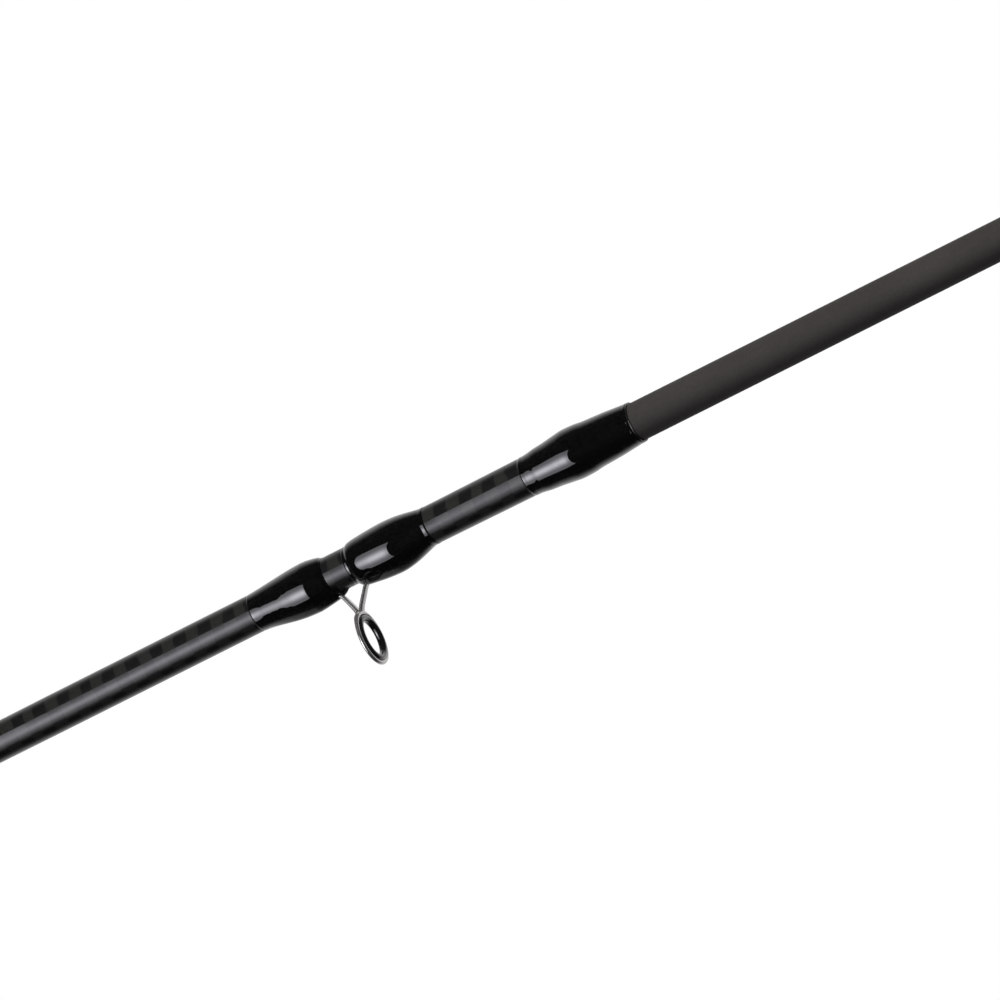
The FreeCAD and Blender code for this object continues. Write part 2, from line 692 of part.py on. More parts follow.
# ------------------------------------------------------------------ the rod

def rod():
    """Every node of the rod by name."""
    nodes = {
        "butt_blank": butt_blank(),
        "butt_cap": butt_cap(),
        "butt_trim_ring": trim_ring(),
        "rear_grip": rear_grip(),
        "rear_grip_check": rear_grip_check(),
        "mid_grip_check": mid_grip_check(),
        "mid_grip": mid_grip(),
        "reel_seat": reel_seat(),
        "seat_arbors": seat_arbors(),
        "fixed_hood_liner": hood_liner(FIXED_HOOD_MOUTH, 1),
        "sliding_hood": sliding_hood(),
        "sliding_hood_liner": hood_liner(SLIDING_HOOD_MOUTH, -1),
        "hood_nut": hood_nut(),
        "fore_grip": fore_grip(),
        "winding_check": winding_check(),
        "tip_blank": tip_blank(),
    }
    nodes["grip_thread"], nodes["grip_epoxy"] = grip_wrap()
    nodes["ferrule_thread"], nodes["ferrule_epoxy"] = ferrule_wrap()
    nodes.update(keeper_nodes())
    for guide in GUIDES:
        nodes.update(guide_nodes(*guide))
    nodes.update(tip_top_nodes())
    return nodes


def main():
    os.makedirs("parts", exist_ok=True)
    for name, shape in rod().items():
        box = shape.BoundBox
        shape.exportStep(f"parts/{name}.step")
        state = "ok" if shape.isValid() else "INVALID"
        print(f"{name:20s} {state} solids {len(shape.Solids)} volume {shape.Volume:10.2f}"
              f" z {box.ZMin:8.2f} {box.ZMax:8.2f} y {box.YMin:7.2f} {box.YMax:6.2f}")


main()
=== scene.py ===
"""Looks of the two-piece spinning rod: wraps, guides, handle, materials, camera and studio light."""
import json
import math

import bmesh
import bpy
from mathutils import Matrix, Vector

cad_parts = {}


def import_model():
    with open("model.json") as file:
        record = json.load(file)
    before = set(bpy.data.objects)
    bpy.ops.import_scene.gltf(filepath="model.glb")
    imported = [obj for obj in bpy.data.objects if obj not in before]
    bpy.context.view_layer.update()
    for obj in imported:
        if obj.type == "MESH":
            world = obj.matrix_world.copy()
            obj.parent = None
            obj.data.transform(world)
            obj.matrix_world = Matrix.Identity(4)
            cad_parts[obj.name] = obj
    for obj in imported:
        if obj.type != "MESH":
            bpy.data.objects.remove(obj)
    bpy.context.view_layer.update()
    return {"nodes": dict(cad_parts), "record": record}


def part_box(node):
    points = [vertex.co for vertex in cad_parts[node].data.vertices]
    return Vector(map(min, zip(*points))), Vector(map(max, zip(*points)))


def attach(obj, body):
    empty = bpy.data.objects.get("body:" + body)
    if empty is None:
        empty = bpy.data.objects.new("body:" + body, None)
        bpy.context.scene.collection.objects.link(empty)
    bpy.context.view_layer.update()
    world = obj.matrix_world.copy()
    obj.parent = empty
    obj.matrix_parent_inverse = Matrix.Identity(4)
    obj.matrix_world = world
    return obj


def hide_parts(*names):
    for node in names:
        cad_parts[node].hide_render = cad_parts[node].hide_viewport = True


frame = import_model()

MM = 0.001
NODES = frame["nodes"]
RECORD = frame["record"]
BODY_OF = {node: body for body, nodes in RECORD["behaviour"]["bodies"].items() for node in nodes}
SLOT_OF = {part["node"]: part["material_slot"] for part in RECORD["subparts"]}

# camera: on the butt's side of the ferrule and a little on the guides' side, butt to the upper right
VIEW_AZIMUTH = math.radians(75.0)
VIEW_ELEVATION = math.radians(-20.5)
ROD_SLOPE = math.radians(26.64)
LENS_MM = 500.0
SENSOR_MM = 36.0
FIELD_WIDTH = 161.2 * MM
AIM_ABOVE_MOUTH = 27.0 * MM
AIM_BESIDE_AXIS = 1.35 * MM

# epoxy coats, as shares of a coat's length from its far end to the ring and of its peak cover
FILM_COVER = 0.05 * MM
FILM_LENGTH = 0.9 * MM
FILM_EDGE = 0.2 * MM
BUTT_COAT = (
    (0, 0.0), (0.07, 0.2), (0.18, 0.54), (0.3, 0.83), (0.4, 0.96), (0.48, 1.0),
    (0.58, 0.96), (0.7, 0.86), (0.8, 0.73), (0.9, 0.56), (0.96, 0.36), (1, 0.0),
)
TIP_COAT = (
    (0, 0.0), (0.1, 0.13), (0.2, 0.29), (0.32, 0.5), (0.45, 0.73), (0.58, 0.91),
    (0.68, 0.98), (0.74, 1.0),
    (0.8, 0.93), (0.89, 0.69), (0.96, 0.38), (1, 0.0),
)
FERRULE_COAT = (
    (0, 0.0), (0.05, 0.14), (0.1, 0.31), (0.2, 0.5), (0.3, 0.77), (0.41, 1.0),
    (0.5, 0.93), (0.6, 0.68), (0.8, 0.42), (0.9, 0.22), (1, 0.0),
)
TRIM_COAT = ((0, 0.0), (0.12, 0.55), (0.4, 1.0), (0.75, 0.95), (0.92, 0.6), (1, 0.0))
# a guide coat for a foot scale of 1: its peak cover in millimetres, the share by which it is thicker
# on the foot's side, and in millimetres how far it climbs the leg's root and how far its near end
# moves towards the tip
BUTT_WRAP = (1.09, 0.26, 0.5, 0.6)
TIP_WRAP = (0.99, 0.23, 2.5, 1.4)
# how far towards the butt the ferrule's coat starts and ends from the CAD coat's ends
FERRULE_TRIMS = (1.3 * MM, 0.6 * MM)
FOOT_HALF_ANGLE = 0.42       # the width, round the rod, of the coat's climb up the leg
TUNNEL_HEIGHT = 0.22 * MM
TUNNEL_HALF_ANGLE = 0.2
RIPPLE = 0.012 * MM
COAT_SPAN = 15.0             # a guide coat's length in millimetres for a foot scale of 1
ROOT_INSIDE = 1.0            # the leg's root stands this far inside the coat's near end, times the scale
HOOP_SLENDERNESS = 0.07      # half of the hoop's axial thickness over its radius
LEG_SPREAD = math.radians(58.0)


# ------------------------------------------------------------------ reading the frame

def islands(node):
    """Height spans of a node's separate solids, lowest first."""
    mesh = NODES[node].data
    parent = {}

    def root(key):
        parent.setdefault(key, key)
        while parent[key] != key:
            parent[key] = parent[parent[key]]
            key = parent[key]
        return key

    places = [tuple(round(c, 7) for c in vertex.co) for vertex in mesh.vertices]
    for face in mesh.polygons:
        first = root(places[face.vertices[0]])
        for index in face.vertices[1:]:
            parent[root(places[index])] = first
    spans = {}
    for place in places:
        low, high = spans.get(root(place), (place[2], place[2]))
        spans[root(place)] = (min(low, place[2]), max(high, place[2]))
    return sorted(spans.values())


def outline_of(node):
    """Outside of a turned node as (height, radius) stations, from its outward-looking faces."""
    mesh = NODES[node].data
    rings = {}
    for face in mesh.polygons:
        if face.normal.x * face.center.x + face.normal.y * face.center.y <= 0:
            continue
        for index in face.vertices:
            place = mesh.vertices[index].co
            key = round(place.z, 6)
            rings[key] = max(rings.get(key, 0.0), math.hypot(place.x, place.y))
    return sorted(rings.items())


def interpolate(stations, x):
    """Straight-line value at x on a list of (x, value) pairs."""
    if x <= stations[0][0]:
        return stations[0][1]
    for (x0, y0), (x1, y1) in zip(stations, stations[1:]):
        if x <= x1:
            return y0 + (y1 - y0) * (x - x0) / max(x1 - x0, 1e-12)
    return stations[-1][1]


MOUTH_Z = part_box("tip_blank")[0][2]
MALE_R = 3.1 * MM
TIP_END_R = 0.9 * MM
BUTT_OUTLINE = [(z, r) for z, r in outline_of("butt_blank") if z < MOUTH_Z and r > MALE_R]
TIP_OUTLINE = [(z, r) for z, r in outline_of("tip_blank") if r > TIP_END_R]


def blank_radius(z):
    return interpolate(BUTT_OUTLINE if z < MOUTH_Z else TIP_OUTLINE, z)


def smooth_through(points, x):
    """Value at x on a smooth curve through (x, value) points, without overshoot (monotone cubic)."""
    xs = [p[0] for p in points]
    ys = [p[1] for p in points]
    slopes = [(ys[i + 1] - ys[i]) / (xs[i + 1] - xs[i]) for i in range(len(xs) - 1)]
    tangents = [slopes[0]]
    for before, after in zip(slopes, slopes[1:]):
        tangents.append(0.0 if before * after <= 0 else 2 * before * after / (before + after))
    tangents.append(slopes[-1])
    if x <= xs[0]:
        return ys[0]
    for i in range(len(slopes)):
        if x <= xs[i + 1]:
            h = xs[i + 1] - xs[i]
            t = (x - xs[i]) / h
            return (
                ys[i] * (1 + 2 * t) * (1 - t) ** 2
                + tangents[i] * h * t * (1 - t) ** 2
                + ys[i + 1] * t * t * (3 - 2 * t)
                + tangents[i + 1] * h * t * t * (t - 1)
            )
    return ys[-1]


def smooth_step(x):
    x = min(max(x, 0.0), 1.0)
    return x * x * (3 - 2 * x)


# ------------------------------------------------------------------ materials

class Nodes:
    """Short-hand for building one shader graph."""

    def __init__(self, name):
        self.material = bpy.data.materials.new(name)
        self.material.use_nodes = True
        self.tree = self.material.node_tree
        self.shader = self.tree.nodes["Principled BSDF"]
        coordinates = self.tree.nodes.new("ShaderNodeTexCoord")
        self.place = coordinates.outputs["Object"]
        split = self.tree.nodes.new("ShaderNodeSeparateXYZ")
        self.link(self.place, split.inputs[0])
        self.x, self.y, self.z = split.outputs

    def add(self, kind, **values):
        node = self.tree.nodes.new(kind)
        for key, value in values.items():
            setattr(node, key, value)
        return node

    def link(self, output, target):
        self.tree.links.new(output, target)

    def feed(self, value, socket):
        if hasattr(value, "is_linked"):
            self.link(value, socket)
        else:
            socket.default_value = value

    def math(self, operation, a, b=0.0, clamp=False):
        node = self.add("ShaderNodeMath", operation=operation, use_clamp=clamp)
        self.feed(a, node.inputs[0])
        self.feed(b, node.inputs[1])
        return node.outputs[0]

    def stretch(self, along):
        """The place with its height scaled, for grain that runs along or round the rod."""
        join = self.add("ShaderNodeCombineXYZ")
        self.link(self.x, join.inputs[0])
        self.link(self.y, join.inputs[1])
        self.link(self.math("MULTIPLY", self.z, along), join.inputs[2])
        return join.outputs[0]

    def noise(self, scale, detail=3.0, roughness=0.5, vector=None):
        node = self.add("ShaderNodeTexNoise")
        node.inputs["Scale"].default_value = scale
        node.inputs["Detail"].default_value = detail
        node.inputs["Roughness"].default_value = roughness
        self.link(vector or self.place, node.inputs["Vector"])
        return node.outputs["Fac"]

    def pores(self, scale):
        """Distance to the nearest cell centre of a Voronoi pattern."""
        node = self.add("ShaderNodeTexVoronoi")
        node.inputs["Scale"].default_value = scale
        self.link(self.place, node.inputs["Vector"])
        return node.outputs["Distance"]

    def ramp(self, value, stops):
        """A colour or grey ramp; stops are (position, colour)."""
        node = self.add("ShaderNodeValToRGB")
        self.link(value, node.inputs["Fac"])
        elements = node.color_ramp.elements
        while len(elements) < len(stops):
            elements.new(0.5)
        for element, (position, colour) in zip(elements, stops):
            element.position = position
            rgb = colour if isinstance(colour, tuple) else (colour, colour, colour)
            element.color = (*rgb, 1.0)
        return node.outputs["Color"]

    def bump(self, height, strength, distance, target="Normal"):
        node = self.add("ShaderNodeBump")
        node.inputs["Strength"].default_value = strength
        node.inputs["Distance"].default_value = distance
        self.link(height, node.inputs["Height"])
        self.link(node.outputs["Normal"], self.shader.inputs[target])

    def set(self, **values):
        for key, value in values.items():
            self.feed(value, self.shader.inputs[key.replace("_", " ")])
        return self.material


THREAD_PITCH = 0.16 * MM


def tip_carbon():
    """Woven cloth under a satin clear coat: alternate cells differ a little in the dark."""
    cell = 2.3 * MM
    cells_round = 8
    g = Nodes("woven_carbon")
    angle = g.math("ARCTAN2", g.y, g.x)
    around = g.math("MULTIPLY", angle, cells_round / (2 * math.pi))
    drift = g.math("MULTIPLY", g.math("SUBTRACT", g.noise(180.0, 2.0), 0.5), 0.9)
    along = g.math("ADD", g.math("DIVIDE", g.z, cell), drift)
    parity = g.math("ADD", g.math("FLOOR", around), g.math("FLOOR", along))
    checker = g.math("ABSOLUTE", g.math("MODULO", parity, 2.0))
    grain = g.noise(2200.0, 3.0, 0.6)
    tone = g.math("ADD", g.math("MULTIPLY", checker, 0.5), g.math("MULTIPLY", grain, 0.5))
    colour = g.ramp(tone, ((0.18, (0.0058, 0.0058, 0.0064)), (0.82, (0.0190, 0.0190, 0.0173))))
    return g.set(Base_Color=colour, Roughness=0.28, Specular_IOR_Level=0.32)


def butt_carbon():
    """Unsanded charcoal laminate, matte and slightly warm, with fine grain and faint patches."""
    g = Nodes("charcoal_carbon")
    grain = g.noise(2600.0, 4.0, 0.7)
    patches = g.noise(90.0, 3.0, 0.6)
    tone = g.math("ADD", g.math("MULTIPLY", grain, 0.6), g.math("MULTIPLY", patches, 0.4))
    colour = g.ramp(tone, ((0.32, (0.027, 0.0245, 0.0225)), (0.68, (0.040, 0.0365, 0.0338))))
    g.bump(grain, 0.25, 0.03 * MM)
    return g.set(Base_Color=colour, Roughness=0.75, Specular_IOR_Level=0.2)


def wrap_epoxy():
    """Black thread, laid side by side, under clear gloss with a slow ripple."""
    g = Nodes("wrap_gloss")
    turns = g.math("SINE", g.math("MULTIPLY", g.z, 2 * math.pi / THREAD_PITCH))
    g.bump(turns, 0.6, 0.03 * MM)
    g.bump(g.noise(240.0, 1.0), 0.35, 0.03 * MM, "Coat Normal")
    thread = g.ramp(g.noise(1800.0, 2.0), ((0.3, 0.0016), (0.7, 0.0036)))
    return g.set(Base_Color=thread, Roughness=0.45, Specular_IOR_Level=0.02, Coat_Weight=1.0,
                 Coat_Roughness=0.02, Coat_IOR=1.5)


def thread():
    g = Nodes("black_thread")
    turns = g.math("SINE", g.math("MULTIPLY", g.z, 2 * math.pi / THREAD_PITCH))
    g.bump(turns, 0.8, 0.04 * MM)
    colour = g.ramp(g.noise(1500.0, 3.0), ((0.3, 0.006), (0.7, 0.014)))
    return g.set(Base_Color=colour, Roughness=0.5)


def guide_metal():
    """Polished dark chrome with faint stamping lines and a little wear."""
    g = Nodes("dark_chrome")
    lines = g.noise(2600.0, 2.0, 0.5, g.stretch(0.1))
    wear = g.noise(500.0, 4.0, 0.6)
    colour = g.ramp(wear, ((0.35, (0.40, 0.395, 0.385)), (0.7, (0.52, 0.51, 0.50))))
    rough = g.math("ADD", 0.13, g.math("MULTIPLY", lines, 0.10))
    g.bump(lines, 0.2, 0.004 * MM)
    return g.set(Base_Color=colour, Metallic=0.84, Roughness=rough)


def ring_ceramic():
    g = Nodes("black_ceramic")
    fine = g.noise(2400.0, 3.0)
    rough = g.math("ADD", 0.04, g.math("MULTIPLY", fine, 0.08))
    colour = g.ramp(fine, ((0.3, 0.0045), (0.7, 0.009)))
    return g.set(Base_Color=colour, Roughness=rough, Specular_IOR_Level=0.6)


def trim_aluminium():
    """Satin gunmetal with lathe marks round the axis."""
    g = Nodes("anodised_gunmetal")
    marks = g.noise(400.0, 3.0, 0.6, g.stretch(22.0))
    rough = g.math("ADD", 0.2, g.math("MULTIPLY", marks, 0.14))
    g.bump(marks, 0.25, 0.006 * MM)
    return g.set(Base_Color=g.ramp(marks, ((0.3, (0.12, 0.12, 0.13)), (0.7, (0.19, 0.19, 0.205)))),
                 Metallic=1.0, Roughness=rough)


def grip_foam():
    """Sanded closed-cell foam: dense fine pores and soft mottling."""
    g = Nodes("eva_foam")
    pores = g.pores(1700.0)
    mottle = g.noise(260.0, 4.0, 0.65)
    tone = g.math("ADD", g.math("MULTIPLY", pores, 0.55), g.math("MULTIPLY", mottle, 0.55))
    g.bump(tone, 0.55, 0.10 * MM)
    colour = g.ramp(tone, ((0.25, (0.0075, 0.0075, 0.0080)), (0.75, (0.021, 0.021, 0.0215))))
    return g.set(Base_Color=colour, Roughness=0.88, Specular_IOR_Level=0.25, Sheen_Weight=0.08)


def cap_rubber():
    g = Nodes("moulded_rubber")
    grain = g.noise(1400.0, 4.0, 0.65)
    g.bump(grain, 0.35, 0.05 * MM)
    colour = g.ramp(grain, ((0.3, 0.010), (0.7, 0.019)))
    return g.set(Base_Color=colour, Roughness=g.math("ADD", 0.55, g.math("MULTIPLY", grain, 0.2)))


def seat_polymer():
    """Moulded carbon-filled nylon: satin, with a very fine spark-eroded texture."""
    g = Nodes("filled_nylon")
    fine = g.noise(3200.0, 3.0, 0.6)
    slow = g.noise(120.0, 2.0)
    g.bump(fine, 0.3, 0.02 * MM)
    tone = g.math("ADD", g.math("MULTIPLY", fine, 0.6), g.math("MULTIPLY", slow, 0.4))
    colour = g.ramp(tone, ((0.3, (0.011, 0.011, 0.012)), (0.7, (0.021, 0.021, 0.023))))
    return g.set(Base_Color=colour, Roughness=g.math("ADD", 0.3, g.math("MULTIPLY", slow, 0.12)))


def hood_metal():
    g = Nodes("brushed_steel_dark")
    brushed = g.noise(500.0, 3.0, 0.6, g.stretch(16.0))
    rough = g.math("ADD", 0.18, g.math("MULTIPLY", brushed, 0.16))
    g.bump(brushed, 0.25, 0.008 * MM)
    return g.set(Base_Color=g.ramp(brushed, ((0.3, (0.15, 0.15, 0.16)), (0.7, (0.24, 0.24, 0.25)))),
                 Metallic=1.0, Roughness=rough)


def soft_rubber():
    g = Nodes("liner_rubber")
    grain = g.noise(1200.0, 3.0)
    g.bump(grain, 0.3, 0.03 * MM)
    return g.set(Base_Color=g.ramp(grain, ((0.3, 0.03), (0.7, 0.05))), Roughness=0.7)


def rigid_foam():
    g = Nodes("rigid_foam")
    cells = g.pores(1500.0)
    g.bump(cells, 0.5, 0.1 * MM)
    colour = g.ramp(cells, ((0.2, (0.26, 0.24, 0.21)), (0.7, (0.42, 0.40, 0.36))))
    return g.set(Base_Color=colour, Roughness=0.85)


MATERIALS = {
    "butt_carbon": butt_carbon(),
    "tip_carbon": tip_carbon(),
    "wrap_thread": thread(),
    "wrap_epoxy": wrap_epoxy(),
    "guide_metal": guide_metal(),
    "ring_ceramic": ring_ceramic(),
    "trim_aluminium": trim_aluminium(),
    "grip_foam": grip_foam(),
    "cap_rubber": cap_rubber(),
    "seat_polymer": seat_polymer(),
    "hood_metal": hood_metal(),
    "liner_rubber": soft_rubber(),
    "arbor_foam": rigid_foam(),
}
for node, thing in NODES.items():
    thing.data.materials.clear()
    thing.data.materials.append(MATERIALS[SLOT_OF[node]])


# ------------------------------------------------------------------ mesh building

def piece_from(mesh, name, node, *also_replaced):
    """Puts a mesh in the scene in place of a CAD node, with that node's body and finish."""
    mesh.materials.clear()
    mesh.materials.append(MATERIALS[SLOT_OF[node]])
    mesh.polygons.foreach_set("use_smooth", [True] * len(mesh.polygons))
    piece = bpy.data.objects.new(name, mesh)
    bpy.context.scene.collection.objects.link(piece)
    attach(piece, BODY_OF[node])
    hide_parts(node, *also_replaced)
    return piece


def loops_mesh(name, rows, closed):
    """Faces between loops of points; the last loop joins the first, or both ends are capped."""
    count = len(rows[0])
    points = [point for row in rows for point in row]
    faces = []
    for i in range(len(rows) if closed else len(rows) - 1):
        j = (i + 1) % len(rows)
        for k in range(count):
            m = (k + 1) % count
            faces.append((i * count + k, i * count + m, j * count + m, j * count + k))
    if not closed:
        last = (len(rows) - 1) * count
        faces.append(tuple(reversed(range(count))))
        faces.append(tuple(last + k for k in range(count)))
    mesh = bpy.data.meshes.new(name)
    mesh.from_pydata(points, [], faces)
    outward(mesh)
    return mesh


def outward(mesh):
    """Turns every closed shell's faces outwards."""
    work = bmesh.new()
    work.from_mesh(mesh)
    bmesh.ops.recalc_face_normals(work, faces=work.faces)
    work.to_mesh(mesh)
    work.free()


def fused(name, shells, voxel, passes):
    """One smooth skin round several overlapping shells, all in millimetres, returned in metres."""
    work = bmesh.new()
    for shell in shells:
        work.from_mesh(shell)
    joined = bpy.data.meshes.new(name)
    work.to_mesh(joined)
    work.free()
    maker = bpy.data.objects.new(name + "_maker", joined)
    bpy.context.scene.collection.objects.link(maker)
    remesh = maker.modifiers.new("remesh", "REMESH")
    remesh.mode = "VOXEL"
    remesh.voxel_size = voxel
    relax = maker.modifiers.new("relax", "SMOOTH")
    relax.factor = 0.5
    relax.iterations = passes
    evaluated = maker.evaluated_get(bpy.context.evaluated_depsgraph_get())
    mesh = bpy.data.meshes.new_from_object(evaluated)
    bpy.data.objects.remove(maker)
    mesh.transform(Matrix.Scale(MM, 4))
    return mesh


# ------------------------------------------------------------------ epoxy coats

def coat_rows(far, near, cover_at, ridge, climb, seed, film=FILM_LENGTH):
    """Outer loops of one coat, from its far end to the ring's end, and the inner loops back.

    ridge is the foot's scale, or 0 with no foot; the coat climbs the leg's root by climb.
    film is how far the bare film reaches before the coat thickens.
    """
    steps, around = 110, 128
    foot_angle = -math.pi / 2
    length = near - far
    direction = 1 if length > 0 else -1
    film_share = min(film / abs(length), 0.1)
    outer = []
    inner = []
    for i in range(steps + 1):
        share = i / steps
        body = min(max((share - film_share) / (1 - 1.6 * film_share), 0.0), 1.0)
        outer_row = []
        inner_row = []
        for k in range(around):
            angle = 2 * math.pi * k / around
            away = (angle - foot_angle + math.pi) % (2 * math.pi) - math.pi
            on_foot = math.exp(-(away / FOOT_HALF_ANGLE) ** 2)
            z = far + share * length + direction * climb * on_foot * smooth_step((share - 0.75) / 0.25)
            base = blank_radius(z)
            ripple = RIPPLE * math.sin(9 * share + 1.7 * seed + 0.8 * math.sin(angle + seed))
            cover = cover_at(body, away)
            tunnel = TUNNEL_HEIGHT * ridge * math.exp(-(away / TUNNEL_HALF_ANGLE) ** 2)
            tunnel *= smooth_step(body / 0.5)
            tunnel *= smooth_step((1 - body) / 0.08)
            edge = FILM_COVER * smooth_step(share * abs(length) / FILM_EDGE)
            edge *= smooth_step((1 - share) * abs(length) / FILM_EDGE)
            radius = base + RIPPLE + edge + cover + tunnel + ripple * min(1.0, cover / (0.2 * MM))
            outer_row.append((radius * math.cos(angle), radius * math.sin(angle), z))
            below = 0.985 * base
            inner_row.append((below * math.cos(angle), below * math.sin(angle), z))
        outer.append(outer_row)
        inner.append(inner_row)
    return outer + inner[::-1]


def guide_coats(number):
    """Epoxy over each foot of a guide, thicker on the foot's side."""
    name = f"guide_{number}"
    ring_low, ring_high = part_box(name + "_ring")
    station = (ring_low[2] + ring_high[2]) / 2
    spans = islands(name + "_epoxy")
    scale = (spans[0][1] - spans[0][0]) / (COAT_SPAN * MM)
    for index, (low, high) in enumerate(spans):
        butt_side = (low + high) / 2 < station
        peak, lean, climb, shift = BUTT_WRAP if butt_side else TIP_WRAP
        outline = BUTT_COAT if butt_side else TIP_COAT
        far, near = (low, high) if butt_side else (high, low)
        near += shift * scale * MM

        def cover_at(share, away):
            bulge = peak * scale * MM * smooth_through(outline, share)
            return bulge * (1 + lean * math.cos(away))

        film = FILM_LENGTH if butt_side else 0.5 * FILM_LENGTH
        rows = coat_rows(far, near, cover_at, scale, climb * scale * MM, number * 2 + index, film)
        mesh = loops_mesh(f"{name}_coat_{index + 1}", rows, closed=True)
        piece_from(mesh, mesh.name, name + "_epoxy", name + "_thread")


def round_coat(name, thread_node, node, outline, flip, seed, trims=(0.0, 0.0)):
    """Concentric epoxy over a plain wrap; its peak cover comes from the CAD coat."""
    low, high = islands(node)[0]
    peak = max(r - blank_radius(z) for z, r in outline_of(node))
    low, high = low - trims[0], high - trims[1]
    far, near = (high, low) if flip else (low, high)

    def cover_at(share, away):
        return peak * smooth_through(outline, share)

    rows = coat_rows(far, near, cover_at, 0.0, 0.0, seed)
    piece_from(loops_mesh(name, rows, closed=True), name, node, thread_node)


for number in range(1, 9):
    guide_coats(number)
round_coat("ferrule_coat", "ferrule_thread", "ferrule_epoxy", FERRULE_COAT, True, 31, FERRULE_TRIMS)
round_coat("grip_coat", "grip_thread", "grip_epoxy", TRIM_COAT, True, 37)
round_coat("tip_top_coat", "tip_top_thread", "tip_top_epoxy", TRIM_COAT, False, 41)


# ------------------------------------------------------------------ guides

def squircle(angle, power):
    """A point on a rounded square of half size 1."""
    c, s = math.cos(angle), math.sin(angle)
    return (
        math.copysign(abs(c) ** (2 / power), c),
        math.copysign(abs(s) ** (2 / power), s),
    )


def hoop(name, centre, station, r_in, r_out, half, power, around, section, shoulder=(0.0, 0.0)):
    """A ring round an axis that is parallel to the rod, with a rounded-square section.

    shoulder widens the ring and moves it towards the tip where it is nearest to the rod.
    """
    middle, reach = (r_in + r_out) / 2, (r_out - r_in) / 2
    wider, shift = shoulder
    rows = []
    for i in range(section):
        across, along = squircle(2 * math.pi * i / section, power)
        radius = middle + reach * across
        row = []
        for k in range(around):
            angle = 2 * math.pi * k / around
            bell = math.exp(-((angle - math.pi / 2) / 0.62) ** 2)
            z = station + (half + wider * bell) * along + shift * bell
            row.append((radius * math.cos(angle), centre + radius * math.sin(angle), z))
        rows.append(row)
    return loops_mesh(name, rows, closed=True)


def rounded_path(corners, bend):
    """Corners joined by straight runs with a curve at each bend, as evenly short steps."""
    path = [corners[0]]
    for before, corner, after in zip(corners, corners[1:], corners[2:]):
        start = corner + (before - corner).normalized() * min(bend, (before - corner).length * 0.45)
        end = corner + (after - corner).normalized() * min(bend, (after - corner).length * 0.45)
        for i in range(9):
            t = i / 8
            path.append(start * (1 - t) ** 2 + corner * 2 * t * (1 - t) + end * t * t)
    path.append(corners[-1])
    return path


def strip(name, path, widths, thicknesses, side=Vector((1, 0, 0))):
    """A flat bar with rounded edges along a path; widths and thicknesses follow its length."""
    section = 20
    total = sum((b - a).length for a, b in zip(path, path[1:]))
    travelled = 0.0
    rows = []
    for i, point in enumerate(path):
        if i:
            travelled += (point - path[i - 1]).length
        share = travelled / total
        before, after = path[max(i - 1, 0)], path[min(i + 1, len(path) - 1)]
        forward = (after - before).normalized()
        across = (side - forward * side.dot(forward)).normalized()
        normal = forward.cross(across)
        half_width = interpolate(widths, share) / 2
        half_thick = interpolate(thicknesses, share) / 2
        row = []
        for k in range(section):
            u, v = squircle(2 * math.pi * k / section, 3.2)
            row.append(tuple(point + across * u * half_width + normal * v * half_thick))
        rows.append(row)
    return loops_mesh(name, rows, closed=False)


def ring_sizes(node):
    """A guide ring's centre, station, opening and seat radius and half thickness, in millimetres."""
    low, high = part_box(node)
    centre = (low[1] + high[1]) / 2
    station = (low[2] + high[2]) / 2
    seat_r = (high[0] - low[0]) / 2
    opening_r = min(math.hypot(v.co.x, v.co.y - centre) for v in NODES[node].data.vertices)
    half = (high[2] - low[2]) / 2
    return [value / MM for value in (centre, station, opening_r, seat_r, half)]


def leg_shells(corner_list, scale, leg_width, heavy=0.0):
    """A leg with its foot: thin at the foot's end, full at the root, a little wider at the hoop.

    heavy thickens every leg after the first.
    """
    shells = []
    for index, (corners, side) in enumerate(corner_list):
        extra = heavy * scale * min(index, 1)
        path = rounded_path(corners, 1.3 * scale)
        length = sum((b - a).length for a, b in zip(corners, corners[1:]))
        foot_share = (corners[1] - corners[0]).length / length
        widths = ((0, leg_width * 0.7), (foot_share, leg_width), (1, leg_width * 1.05))
        thicknesses = ((0, 0.14 * scale), (foot_share * 0.9, 0.5 * scale + 0.5 * extra),
                       (1, 0.62 * scale + extra))
        shells.append(strip("leg", path, widths, thicknesses, side))
    return shells


